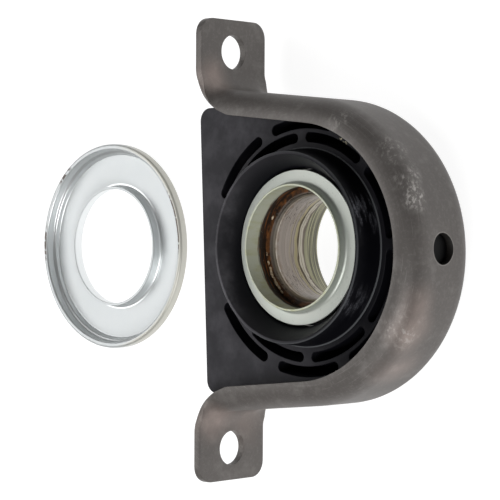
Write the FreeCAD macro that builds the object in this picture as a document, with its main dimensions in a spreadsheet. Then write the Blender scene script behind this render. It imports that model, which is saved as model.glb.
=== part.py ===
import FreeCAD, Part
import math
import os
import re
import Sketcher
from FreeCAD import Placement, Rotation, Vector

# Driveshaft centre bearing: a deep groove ball bearing held by a slotted rubber cushion
# in a stamped steel strap with two bolting feet, and a loose pressed slinger beside it.
# The shaft axis is Z, the front looks up +Z, the feet bolt to a face that looks along +Y.

os.makedirs("parts", exist_ok=True)
doc = FreeCAD.newDocument("CentreBearing")
sheet = doc.addObject("Spreadsheet::Sheet", "Sizes")

# Driving sizes in millimetres and degrees, one row each
DRIVING = (
    # Bearing: 55 mm bore, 90 mm outside, 13 balls
    ("bore_radius", 27.5),
    ("outer_ring_radius", 45.0),
    ("inner_ring_half_width", 13.0),
    ("front_lead_depth", 2.6),
    ("front_lead_rise", 1.4),
    ("back_lead", 0.6),
    ("step_share", 0.263),
    ("shoulder_share", 0.59),
    ("outer_shoulder_share", 0.645),
    ("ring_edge", 1.0),
    ("ball_share", 0.3143),
    ("ball_count", 13),
    ("ball_play", 0.03),
    ("groove_ease", 0.22),
    ("cage_sheet", 0.7),
    ("cage_play", 0.15),
    ("cage_seal_gap", 0.95),
    ("cage_inner_share", 0.39),
    ("cage_outer_share", 0.445),
    ("rivet_radius", 0.8),
    ("rivet_head_radius", 1.5),
    ("rivet_head_height", 0.6),
    ("seal_thickness", 1.2),
    ("seal_seat_depth", 1.7),
    ("seal_seat_share", 0.2057),
    ("seal_lip_gap", 0.3),
    ("seat_gap", 0.02),
    # Pressed shields on the inner ring
    ("shield_sheet", 1.0),
    ("shield_gap", 1.3),
    ("shield_fall", 5.2),
    ("lip_fold", 0.8),
    ("lip_root", 0.8),
    ("lip_height", 28.3),
    ("lip_return", 4.0),
    ("fold_share", 0.45),
    ("back_lip_height", 30.9),
    ("back_lip_flare", 1.9),
    ("back_shield_fall", 5.3),
    # Steel sleeve between the outer ring and the rubber
    ("sleeve_wall", 1.5),
    ("sleeve_lip_width", 2.4),
    ("sleeve_edge", 1.2),
    # Rubber cushion
    ("web_half_thickness", 17.5),
    ("cup_wall", 3.58),
    ("cup_draft", 2.0),
    ("cup_height", 33.7),
    ("cup_rim", 1.6),
    ("cup_mouth_lip", 0.7),
    ("cup_mouth_height", 22.4),
    ("cup_rounding", 0.7),
    ("inner_slot_wall", 3.2),
    ("inner_slot_width", 5.0),
    ("inner_slot_angle", 34.4),
    ("inner_slot_count", 8),
    ("slot_bridge", 2.3),
    ("outer_slot_width", 5.4),
    ("outer_slot_angle", 32.6),
    ("outer_slot_count", 7),
    ("slot_pitch", 45.0),
    ("insert_turn", 2.4),
    ("cushion_inset", 3.0),
    ("cushion_corner", 7.0),
    ("cushion_neck", 11.0),
    ("bead_end_gap", 3.0),
    ("cushion_stand", 1.4),
    ("cushion_gap", 0.2),
    ("plug_radius", 7.2),
    ("plug_recess", 0.8),
    # Strap
    ("bolt_spacing", 220.0),
    ("bolt_hole_radius", 9.55),
    ("mount_height", 73.6),
    ("strap_sheet", 4.2),
    ("strap_half_width", 25.3),
    ("foot_margin", 17.8),
    ("foot_corner", 9.0),
    ("foot_bend", 12.0),
    ("arch_margin", 13.3),
    ("arch_shift", 2.4),
    ("arch_offset", 1.5),
    ("leg_splay", 6.2),
    ("edge_bend", 13.5),
    ("flange_fade", 11.0),
    ("fade_middle_sweep", 84.5),
    ("fade_root_sweep", 75.0),
    ("fade_upper_turn", 20.0),
    ("fade_upper_sweep", 48.0),
    ("fade_lower_turn", 41.0),
    ("fade_lower_sweep", 15.0),
    ("flat_turn", 62.0),
    ("apex_hole_radius", 8.0),
    ("apex_hole_height", 2.0),
    # Loose slinger, a pressed pan with a raised collar
    ("slinger_sheet", 1.5),
    ("slinger_bore_radius", 35.0),
    ("slinger_collar_height", 7.6),
    ("slinger_plate_width", 21.0),
    ("slinger_bevel_width", 2.0),
    ("slinger_wall_lean", 0.9),
    ("slinger_height", 9.7),
    ("slinger_lip_drop", 5.1),
    ("slinger_bead_height", 3.9),
    ("slinger_root", 1.5),
    ("slinger_fold", 0.4),
    ("slinger_x", -1.4),
    ("slinger_y", 197.2),
)

# Sizes that follow from the driving ones
DERIVED = (
    ("ring_room", "outer_ring_radius - bore_radius"),
    ("pitch_radius", "bore_radius + ring_room / 2"),
    ("ball_radius", "ball_share * ring_room"),
    ("step_radius", "bore_radius + step_share * ring_room"),
    ("shoulder_radius", "pitch_radius - shoulder_share * ball_radius"),
    ("outer_shoulder_radius", "pitch_radius + outer_shoulder_share * ball_radius"),
    ("cage_inner_radius", "pitch_radius - cage_inner_share * ball_radius"),
    ("cage_outer_radius", "pitch_radius + cage_outer_share * ball_radius"),
    ("seal_seat_radius", "outer_ring_radius - seal_seat_share * ring_room"),
    ("groove_radius", "ball_radius + groove_ease"),
    ("ball_step", "360 / ball_count"),
    ("seal_inner_radius", "shoulder_radius + seal_lip_gap"),
    ("seal_face", "ball_radius + cage_play + cage_sheet + cage_seal_gap"),
    ("outer_ring_half_width", "seal_face + seal_seat_depth"),
    ("seal_lip_width", "2 * seal_thickness"),
    ("seal_lip_drop", "seal_thickness / 3"),
    ("cage_hole_height", "3 * cage_sheet"),
    ("fold_inside", "fold_share * lip_fold"),
    ("fold_outside", "fold_inside + shield_sheet"),
    ("sleeve_radius", "outer_ring_radius + seat_gap + sleeve_wall"),
    ("sleeve_half_width", "outer_ring_half_width + seat_gap + sleeve_wall"),
    ("sleeve_lip_radius", "outer_ring_radius - sleeve_lip_width"),
    ("cup_mouth_radius", "sleeve_lip_radius - cup_mouth_lip"),
    ("cup_radius", "sleeve_radius + cup_wall"),
    ("cup_foot_radius", "cup_radius + cup_draft"),
    ("shield_radius", "cup_mouth_radius - shield_gap"),
    ("inner_slot_radius", "cup_foot_radius + inner_slot_wall + inner_slot_width / 2"),
    ("slot_spacing", "slot_bridge + (inner_slot_width + outer_slot_width) / 2"),
    ("outer_slot_radius", "inner_slot_radius + slot_spacing"),
    ("arch_radius", "outer_slot_radius + outer_slot_width / 2 + arch_margin"),
    ("cushion_half_width", "arch_radius - cushion_inset"),
    ("cushion_rest_height", "mount_height + cushion_stand"),
    ("foot_half_span", "bolt_spacing / 2 + foot_margin"),
    ("cushion_bore_radius", "sleeve_radius + seat_gap"),
    ("cushion_seat_height", "sleeve_half_width + seat_gap"),
    ("edge_centre", "strap_half_width - edge_bend"),
    ("bend_rise", "mount_height - arch_offset - strap_sheet - foot_bend"),
    ("leg_length", "(bend_rise + (arch_radius + foot_bend) * sin(leg_splay)) / cos(leg_splay)"),
    ("bend_reach", "(arch_radius + foot_bend) * cos(leg_splay) + leg_length * sin(leg_splay)"),
    ("bend_total", "90 - leg_splay"),
    ("cushion_radius", "arch_radius - strap_sheet - cushion_gap"),
    ("bead_half_width", "strap_half_width - strap_sheet - cushion_gap"),
    ("bead_round", "edge_bend - strap_sheet - cushion_gap"),
    ("bead_inner_radius", "cushion_radius - bead_round - cushion_gap / 2"),
    ("web_reach", "bead_inner_radius + bead_round / 2"),
    ("web_cut", "4 * web_half_thickness"),
    ("apex_cut", "2 * arch_radius"),
    ("cushion_leg", "leg_length - flange_fade - bead_end_gap"),
    ("shield_seat", "step_radius + seat_gap"),
    ("slinger_plate_radius", "slinger_bore_radius + slinger_plate_width"),
    ("slinger_wall_foot", "slinger_plate_radius + slinger_bevel_width"),
    ("slinger_wall_radius", "slinger_wall_foot + slinger_wall_lean"),
    ("slinger_radius", "slinger_wall_radius + 2 * slinger_sheet + slinger_fold"),
    ("slinger_fold_inside", "fold_share * slinger_fold"),
    ("slinger_fold_outside", "slinger_fold_inside + slinger_sheet"),
    ("bevel_rise", "(slinger_bead_height - slinger_sheet) / (slinger_wall_foot - slinger_plate_radius)"),
    ("wall_rise", "(slinger_height - slinger_bead_height) / (slinger_wall_radius - slinger_wall_foot)"),
    ("bevel_angle", "atan(bevel_rise) / 1 deg"),
    ("wall_angle", "atan(wall_rise) / 1 deg"),
    ("plate_mitre", "slinger_sheet * tan(bevel_angle / 2)"),
    ("wall_mitre", "slinger_sheet / cos((wall_angle - bevel_angle) / 2)"),
    ("mitre_heading", "(wall_angle + bevel_angle) / 2"),
)

for row, (name, value) in enumerate(DRIVING, 1):
    sheet.set("A%d" % row, name)
    sheet.set("B%d" % row, str(value))
    sheet.setAlias("B%d" % row, name)
for row, (name, formula) in enumerate(DERIVED, len(DRIVING) + 1):
    sheet.set("A%d" % row, name)
    sheet.set("B%d" % row, "=" + formula)
    sheet.setAlias("B%d" % row, name)
doc.recompute()
NAMES = {name for name, value in DRIVING + DERIVED}


# A size worked out from the sheet, as a plain number
def number(text):
    return float(sheet.evalExpression(str(text)))


# The same size as an expression that an object outside the sheet can hold
def bound(text):
    return re.sub(r"[a-z][a-z_]+", lambda word: "Sizes." + word[0] if word[0] in NAMES else word[0], text)


def origin_item(body, role):
    return [item for item in body.Origin.OriginFeatures if item.Role == role][0]


# A sketch on an origin plane, moved and turned about the sketch's own upright axis or its normal
def sketch_on(body, name, role, base=("0", "0", "0"), axis=Vector(0, 1, 0), turn="0"):
    sketch = body.newObject("Sketcher::SketchObject", name)
    sketch.AttachmentSupport = [(origin_item(body, role), "")]
    sketch.MapMode = "FlatFace"
    place = Vector(*[number(text) for text in base])
    sketch.AttachmentOffset = Placement(place, Rotation(axis, number(turn)))
    for letter, text in zip("xyz", base):
        if text != "0":
            sketch.setExpression("AttachmentOffset.Base." + letter, bound(text))
    if turn != "0":
        sketch.setExpression("AttachmentOffset.Rotation.Angle", bound(turn))
    return sketch


def dimension(sketch, kind, where, size):
    index = sketch.addConstraint(Sketcher.Constraint(kind, *where, number(size)))
    sketch.setExpression("Constraints[%d]" % index, bound(size))


def pin_point(sketch, element, end, across, up):
    dimension(sketch, "DistanceX", (-1, 1, element, end), across)
    dimension(sketch, "DistanceY", (-1, 1, element, end), up)


def rounding(sketch, corner, arriving, leaving, here, towards, onwards):
    radius = number(corner[2])
    half = towards.getAngle(onwards) / 2
    middle = (towards + onwards).normalize()
    centre = here + middle * (radius / math.sin(half))
    reach = radius / math.tan(half)
    first = here + towards * reach - centre
    last = here + onwards * reach - centre
    turns_left = first.cross(last).z > 0
    opening, closing = (first, last) if turns_left else (last, first)
    begin = math.atan2(opening.y, opening.x)
    finish = math.atan2(closing.y, closing.x)
    if finish < begin:
        finish += 2 * math.pi
    circle = Part.Circle(centre, Vector(0, 0, 1), radius)
    arc = sketch.addGeometry(Part.ArcOfCircle(circle, begin, finish))
    arrival, departure = (1, 2) if turns_left else (2, 1)
    sketch.addConstraint(Sketcher.Constraint("Tangent", arriving, 2, arc, arrival))
    sketch.addConstraint(Sketcher.Constraint("Tangent", arc, departure, leaving, 1))
    dimension(sketch, "Radius", (arc,), corner[2])
    point = sketch.addGeometry(Part.Point(here), True)
    sketch.addConstraint(Sketcher.Constraint("PointOnObject", point, 1, arriving))
    sketch.addConstraint(Sketcher.Constraint("PointOnObject", point, 1, leaving))
    pin_point(sketch, point, 1, corner[0], corner[1])


# A closed outline of straight sides: each corner is given by two sizes, and by a third one
# where the corner is rounded
def outline(sketch, corners):
    points = [Vector(number(corner[0]), number(corner[1]), 0) for corner in corners]
    count = len(corners)
    reaches = []
    for index, corner in enumerate(corners):
        towards = (points[index - 1] - points[index]).normalize()
        onwards = (points[(index + 1) % count] - points[index]).normalize()
        reach = 0
        if len(corner) > 2:
            reach = number(corner[2]) / math.tan(towards.getAngle(onwards) / 2)
        reaches.append((points[index] + towards * reach, points[index] + onwards * reach))
    sides = []
    for index in range(count):
        ahead = (index + 1) % count
        sides.append(sketch.addGeometry(Part.LineSegment(reaches[index][1], reaches[ahead][0])))
    for index, corner in enumerate(corners):
        if len(corner) > 2:
            towards = (points[index - 1] - points[index]).normalize()
            onwards = (points[(index + 1) % count] - points[index]).normalize()
            rounding(sketch, corner, sides[index - 1], sides[index], points[index], towards, onwards)
        else:
            sketch.addConstraint(Sketcher.Constraint("Coincident", sides[index - 1], 2, sides[index], 1))
            pin_point(sketch, sides[index], 1, corner[0], corner[1])


def circle_at(sketch, across, up, radius):
    centre = Vector(number(across), number(up), 0)
    circle = sketch.addGeometry(Part.Circle(centre, Vector(0, 0, 1), number(radius)))
    pin_point(sketch, circle, 3, across, up)
    dimension(sketch, "Radius", (circle,), radius)


def new_body(label):
    body = doc.addObject("PartDesign::Body", label)
    body.Label = label
    return body


def feature(body, kind, name, sketch):
    item = body.newObject("PartDesign::" + kind, name)
    item.Profile = sketch
    sketch.Visibility = False
    return item


# A pad or pocket of a bound length, to one side or to both
def extrude(body, kind, name, sketch, length, midplane=False, backwards=False):
    item = feature(body, kind, name, sketch)
    item.setExpression("Length", bound(length))
    item.Midplane = midplane
    item.Reversed = backwards
    return item


# A turned form about the sketch's upright axis
def turn(body, kind, name, sketch, angle="360", midplane=False, backwards=False):
    item = feature(body, kind, name, sketch)
    item.ReferenceAxis = (sketch, ["V_Axis"])
    item.Angle = 360
    if angle != "360":
        item.setExpression("Angle", bound(angle))
    item.Midplane = midplane
    item.Reversed = backwards
    return item


def turned_body(label, corners):
    body = new_body(label)
    section = sketch_on(body, label + "_section", "XZ_Plane")
    outline(section, corners)
    turn(body, "Revolution", label + "_turned", section)
    return body


# Copies of features about the shaft axis
def around(body, name, originals, count, angle="360"):
    pattern = body.newObject("PartDesign::PolarPattern", name)
    pattern.Originals = originals
    pattern.Axis = (originals[0].Profile[0], ["N_Axis"])
    pattern.Angle = 360
    if angle != "360":
        pattern.setExpression("Angle", bound(angle))
    pattern.setExpression("Occurrences", bound(count))
    body.Tip = pattern
    return pattern


# Inner ring: wide, ground bore, a step at each end that carries a shield, one ball groove
def inner_ring():
    ring = turned_body("inner_ring", (
        ("bore_radius", "-inner_ring_half_width + back_lead"),
        ("bore_radius + back_lead", "-inner_ring_half_width"),
        ("step_radius", "-inner_ring_half_width"),
        ("step_radius", "-outer_ring_half_width"),
        ("shoulder_radius", "-outer_ring_half_width"),
        ("shoulder_radius", "outer_ring_half_width"),
        ("step_radius", "outer_ring_half_width"),
        ("step_radius", "inner_ring_half_width"),
        ("bore_radius + front_lead_rise", "inner_ring_half_width"),
        ("bore_radius", "inner_ring_half_width - front_lead_depth"),
    ))
    cutter = sketch_on(ring, "inner_groove_circle", "XZ_Plane")
    circle_at(cutter, "pitch_radius - ball_radius - ball_play + groove_radius", "0", "groove_radius")
    turn(ring, "Groove", "inner_groove", cutter)


# Outer ring: chamfered outside, seal seats at both ends, one ball groove
def outer_ring():
    ring = turned_body("outer_ring", (
        ("outer_ring_radius - ring_edge", "-outer_ring_half_width"),
        ("outer_ring_radius", "-outer_ring_half_width + ring_edge"),
        ("outer_ring_radius", "outer_ring_half_width - ring_edge"),
        ("outer_ring_radius - ring_edge", "outer_ring_half_width"),
        ("seal_seat_radius", "outer_ring_half_width"),
        ("seal_seat_radius", "seal_face"),
        ("outer_shoulder_radius", "seal_face"),
        ("outer_shoulder_radius", "-seal_face"),
        ("seal_seat_radius", "-seal_face"),
        ("seal_seat_radius", "-outer_ring_half_width"),
    ))
    cutter = sketch_on(ring, "outer_groove_circle", "XZ_Plane")
    circle_at(cutter, "pitch_radius + ball_radius + ball_play - groove_radius", "0", "groove_radius")
    turn(ring, "Groove", "outer_groove", cutter)


# Balls: evenly spaced on the pitch circle, each a sphere of its own
def balls():
    for index in range(int(number("ball_count"))):
        ball = doc.addObject("Part::Sphere", "ball_%02d" % (index + 1))
        ball.Label = "ball_%02d" % (index + 1)
        ball.setExpression("Radius", "Sizes.ball_radius")
        ball.setExpression("Placement.Base.x", "Sizes.pitch_radius * cos(%d * Sizes.ball_step)" % index)
        ball.setExpression("Placement.Base.y", "Sizes.pitch_radius * sin(%d * Sizes.ball_step)" % index)


# The same size on the back of the mid plane, where the side is -1
def on_side(side, text):
    return text if side > 0 else "-(" + text + ")"


def part_object(kind, name, **sizes):
    item = doc.addObject("Part::" + kind, name)
    for prop, text in sizes.items():
        item.setExpression(prop, bound(text))
    return item


def joined(kind, name, shapes):
    item = doc.addObject("Part::" + kind, name)
    if kind == "Compound":
        item.Links = shapes
    else:
        item.Shapes = shapes
    return item


def cut(name, base, tool):
    item = doc.addObject("Part::Cut", name)
    item.Base = base
    item.Tool = tool
    return item


# Puts a primitive on the pitch circle, a number of ball steps round from +X
def on_pitch(item, steps, height="0"):
    item.setExpression("Placement.Base.x", bound("pitch_radius * cos(%g * ball_step)" % steps))
    item.setExpression("Placement.Base.y", bound("pitch_radius * sin(%g * ball_step)" % steps))
    if height != "0":
        item.setExpression("Placement.Base.z", bound(height))
    return item


# Cage: two pressed halves, each a flat ring with a domed pocket over every ball, and one rivet
# between neighbouring pockets
def cage():
    count = int(number("ball_count"))
    dome_radius = "ball_radius + cage_play + cage_sheet"
    ring_top = "seat_gap / 2 + cage_sheet"
    outside = part_object("Cylinder", "cage_outside", Radius="cage_outer_radius", Height=dome_radius)
    inside = part_object("Cylinder", "cage_inside", Radius="cage_inner_radius", Height=dome_radius)
    band = cut("cage_band", outside, inside)
    band.setExpression("Placement.Base.z", bound("seat_gap / 2"))
    plate = part_object("Cylinder", "cage_plate", Radius="cage_outer_radius", Height=ring_top)
    domes = [on_pitch(part_object("Sphere", "cage_dome", Radius=dome_radius), i) for i in range(count)]
    pressed = joined("MultiFuse", "cage_pressed", [plate] + domes)
    half = joined("MultiCommon", "cage_half", [band, pressed])
    pocket_radius = "ball_radius + cage_play"
    pockets = [on_pitch(part_object("Sphere", "cage_pocket", Radius=pocket_radius), i) for i in range(count)]
    hole_sizes = {"Radius": "rivet_radius + seat_gap", "Height": "cage_hole_height"}
    holes = [on_pitch(part_object("Cylinder", "cage_hole", **hole_sizes), i + 0.5) for i in range(count)]
    front = cut("cage_front", half, joined("MultiFuse", "cage_openings", pockets + holes))
    front.Label = "cage_front"
    back = doc.addObject("Part::Mirroring", "cage_back")
    back.Label = "cage_back"
    back.Source = front
    back.Normal = Vector(0, 0, 1)
    rivets = []
    for i in range(count):
        shank = part_object("Cylinder", "shank", Radius="rivet_radius", Height="2 * (" + ring_top + ")")
        front_head = part_object("Cone", "front_head", Radius1="rivet_head_radius")
        front_head.setExpression("Radius2", bound("rivet_radius"))
        front_head.setExpression("Height", bound("rivet_head_height"))
        back_head = part_object("Cone", "back_head", Radius2="rivet_head_radius")
        back_head.setExpression("Radius1", bound("rivet_radius"))
        back_head.setExpression("Height", bound("rivet_head_height"))
        on_pitch(shank, i + 0.5, "-(" + ring_top + ")")
        on_pitch(front_head, i + 0.5, ring_top)
        on_pitch(back_head, i + 0.5, "-(" + ring_top + ") - rivet_head_height")
        rivets.append(joined("MultiFuse", "rivet", [shank, front_head, back_head]))
    joined("Compound", "cage_rivets", rivets).Label = "cage_rivets"


# Seal: a flat disc held in the outer ring's seat, thicker at its lip, which runs on the shoulder
def seal(label, side):
    lip_reach = "seal_inner_radius + seal_lip_width"
    turned_body(label, (
        ("seal_inner_radius", on_side(side, "seal_face - seal_lip_drop")),
        ("seal_inner_radius", on_side(side, "seal_face + seal_thickness")),
        ("seal_seat_radius - seat_gap", on_side(side, "seal_face + seal_thickness")),
        ("seal_seat_radius - seat_gap", on_side(side, "seal_face")),
        (lip_reach, on_side(side, "seal_face")),
        (lip_reach, on_side(side, "seal_face - seal_lip_drop")),
    ))


# Shield: one sheet drawn into a collar on the ring's step, folded back over a rounded lip and
# spread into a flange that ends just inside the rubber cup
def shield(label, side, height, flare, fall):
    lip = "shield_seat + " + flare
    edge_height = height + " - " + fall
    wall = lip + " + 2 * shield_sheet + lip_fold"
    turned_body(label, (
        ("shield_seat", on_side(side, "outer_ring_half_width + seat_gap")),
        ("shield_seat", on_side(side, "inner_ring_half_width")),
        (lip, on_side(side, height), "fold_outside"),
        (wall, on_side(side, height), "fold_outside"),
        (wall, on_side(side, height + " - lip_return"), "lip_root"),
        ("shield_radius", on_side(side, edge_height)),
        ("shield_radius", on_side(side, edge_height + " - shield_sheet")),
        (wall + " - shield_sheet", on_side(side, height + " - lip_return - shield_sheet"),
         "lip_root + shield_sheet"),
        (wall + " - shield_sheet", on_side(side, height + " - shield_sheet"), "fold_inside"),
        (lip + " + shield_sheet", on_side(side, height + " - shield_sheet"), "fold_inside"),
        ("shield_seat + shield_sheet", on_side(side, "inner_ring_half_width")),
        ("shield_seat + shield_sheet", on_side(side, "outer_ring_half_width + seat_gap")),
    ))


# Sleeve: steel shell round the outer ring, with a lip turned in over each of its faces
def sleeve():
    inside = "outer_ring_radius + seat_gap"
    face = "outer_ring_half_width + seat_gap"
    turned_body("retaining_sleeve", (
        ("sleeve_lip_radius", "-sleeve_half_width"),
        ("sleeve_radius", "-sleeve_half_width", "sleeve_edge"),
        ("sleeve_radius", "sleeve_half_width", "sleeve_edge"),
        ("sleeve_lip_radius", "sleeve_half_width"),
        ("sleeve_lip_radius", face),
        (inside, face),
        (inside, "-(" + face + ")"),
        ("sleeve_lip_radius", "-(" + face + ")"),
    ))


# Loose slinger: a pressed pan that lies on the same floor as the cushion's back rim
def slinger():
    pan = turned_body("loose_slinger", (
        ("slinger_bore_radius", "0", "slinger_root + slinger_sheet"),
        ("slinger_bore_radius", "slinger_collar_height"),
        ("slinger_bore_radius + slinger_sheet", "slinger_collar_height"),
        ("slinger_bore_radius + slinger_sheet", "slinger_sheet", "slinger_root"),
        ("slinger_plate_radius", "slinger_sheet"),
        ("slinger_wall_foot", "slinger_bead_height"),
        ("slinger_wall_radius", "slinger_height", "slinger_fold_outside"),
        ("slinger_radius", "slinger_height", "slinger_fold_outside"),
        ("slinger_radius", "slinger_height - slinger_lip_drop"),
        ("slinger_radius - slinger_sheet", "slinger_height - slinger_lip_drop"),
        ("slinger_radius - slinger_sheet", "slinger_height - slinger_sheet", "slinger_fold_inside"),
        ("slinger_wall_radius + slinger_sheet", "slinger_height - slinger_sheet", "slinger_fold_inside"),
        ("slinger_wall_foot + wall_mitre * sin(mitre_heading)",
         "slinger_bead_height - wall_mitre * cos(mitre_heading)"),
        ("slinger_plate_radius + plate_mitre", "0"),
    ))
    pan.setExpression("Placement.Base.x", "Sizes.slinger_x")
    pan.setExpression("Placement.Base.y", "Sizes.slinger_y")
    pan.setExpression("Placement.Base.z", "-Sizes.cup_height")


# An arc shaped slot with round ends, centred on the sketch's +X axis
def slot(body, name, radius, width, angle, first_turn):
    sketch = sketch_on(body, name + "_outline", "XY_Plane", axis=Vector(0, 0, 1), turn=first_turn)
    half_angle = math.radians(number(angle) / 2)
    middle = number(radius)
    half_width = number(width) / 2
    upright = Vector(0, 0, 1)
    arcs = []
    for reach in (middle + half_width, middle - half_width):
        circle = Part.Circle(Vector(0, 0, 0), upright, reach)
        arcs.append(sketch.addGeometry(Part.ArcOfCircle(circle, -half_angle, half_angle)))
    ends = []
    for sign in (1, -1):
        heading = sign * half_angle
        centre = Vector(middle * math.cos(heading), middle * math.sin(heading), 0)
        circle = Part.Circle(centre, upright, half_width)
        begin = heading if sign > 0 else heading - math.pi
        ends.append(sketch.addGeometry(Part.ArcOfCircle(circle, begin, begin + math.pi)))
    outer_arc, inner_arc = arcs
    upper_end, lower_end = ends
    for arc in arcs:
        sketch.addConstraint(Sketcher.Constraint("Coincident", arc, 3, -1, 1))
    dimension(sketch, "Radius", (outer_arc,), radius + " + " + width + " / 2")
    dimension(sketch, "Radius", (inner_arc,), radius + " - " + width + " / 2")
    sketch.addConstraint(Sketcher.Constraint("Tangent", outer_arc, 2, upper_end, 1))
    sketch.addConstraint(Sketcher.Constraint("Tangent", upper_end, 2, inner_arc, 2))
    sketch.addConstraint(Sketcher.Constraint("Tangent", inner_arc, 1, lower_end, 1))
    sketch.addConstraint(Sketcher.Constraint("Tangent", lower_end, 2, outer_arc, 1))
    end_height = radius + " * sin(" + angle + " / 2)"
    dimension(sketch, "DistanceY", (-1, 1, upper_end, 3), end_height)
    dimension(sketch, "DistanceY", (-1, 1, lower_end, 3), "-" + end_height)
    return extrude(body, "Pocket", name, sketch, "web_cut", midplane=True)


# Cushion: a thick web that fills the strap, a cup on each face round the shields, and two rings
# of slots that let the bearing float
def cushion():
    body = new_body("rubber_insert")
    arch_centre = ("-arch_shift", "0", "-arch_offset")
    web = sketch_on(body, "web_section", "XZ_Plane", arch_centre, turn="-90")
    outline(web, (
        ("0", "-web_half_thickness"),
        ("web_reach", "-web_half_thickness"),
        ("web_reach", "web_half_thickness"),
        ("0", "web_half_thickness"),
    ))
    turn(body, "Revolution", "web_arch", web, "180 - 2 * leg_splay", midplane=True)
    shoulders = sketch_on(body, "web_shoulders", "XY_Plane")
    corners = []
    for side in (1, -1):
        start_x = "web_reach * cos(leg_splay)"
        leg_x = start_x + " + cushion_leg * sin(leg_splay)"
        start_y = "arch_offset - web_reach * sin(leg_splay)"
        leg_y = start_y + " + cushion_leg * cos(leg_splay)"
        side_x = "-arch_shift + " + on_side(side, "cushion_half_width")
        corners.append([
            ("-arch_shift + " + on_side(side, start_x), start_y),
            ("-arch_shift + " + on_side(side, leg_x), leg_y),
            (side_x, leg_y + " + cushion_neck"),
            (side_x, "cushion_rest_height + (" + side_x + ") * tan(insert_turn)", "cushion_corner"),
        ])
    outline(shoulders, corners[0] + corners[1][::-1])
    extrude(body, "Pad", "web_corners", shoulders, "2 * web_half_thickness", midplane=True)
    plug = sketch_on(body, "plug_circle", "XZ_Plane")
    circle_at(plug, "0", "apex_hole_height", "plug_radius")
    extrude(body, "Pad", "plug", plug, "arch_radius - arch_offset - plug_recess")
    bore = sketch_on(body, "bore_circle", "XY_Plane")
    circle_at(bore, "0", "0", "cushion_bore_radius")
    extrude(body, "Pocket", "bore", bore, "web_cut", midplane=True)
    inner = slot(body, "inner_slot", "inner_slot_radius", "inner_slot_width", "inner_slot_angle",
                 "slot_pitch / 2 + insert_turn - 90")
    around(body, "inner_slots", [inner], "inner_slot_count")
    outer = slot(body, "outer_slot", "outer_slot_radius", "outer_slot_width", "outer_slot_angle",
                 "insert_turn - 90 - (outer_slot_count - 1) / 2 * slot_pitch")
    around(body, "outer_slots", [outer], "outer_slot_count", "(outer_slot_count - 1) * slot_pitch")
    bead = (
        ("bead_inner_radius", "-bead_half_width"),
        ("cushion_radius", "-bead_half_width", "bead_round"),
        ("cushion_radius", "bead_half_width", "bead_round"),
        ("bead_inner_radius", "bead_half_width"),
    )
    section = sketch_on(body, "bead_section", "XZ_Plane", arch_centre, turn="-90")
    outline(section, bead)
    turn(body, "Revolution", "bead_arch", section, "180 - 2 * leg_splay", midplane=True)
    for name, heading, backwards in (("right", "-leg_splay", True), ("left", "180 + leg_splay", False)):
        section = sketch_on(body, "bead_section_" + name, "XZ_Plane", arch_centre, turn=heading)
        outline(section, bead)
        extrude(body, "Pad", "bead_leg_" + name, section, "cushion_leg", backwards=backwards)
    rim = "cup_radius - cup_rim"
    front = (
        ("cushion_bore_radius", "cushion_seat_height"),
        ("cup_mouth_radius", "cushion_seat_height"),
        ("cup_mouth_radius", "cup_mouth_height", "cup_rounding"),
        (rim, "cup_height", "cup_rounding"),
        ("cup_radius", "cup_height", "cup_rounding"),
        ("cup_foot_radius", "web_half_thickness"),
    )
    back = tuple((corner[0], "-" + corner[1]) + corner[2:] for corner in reversed(front))
    cups = sketch_on(body, "cup_section", "XZ_Plane")
    outline(cups, front + back)
    turn(body, "Revolution", "cups", cups)


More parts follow.
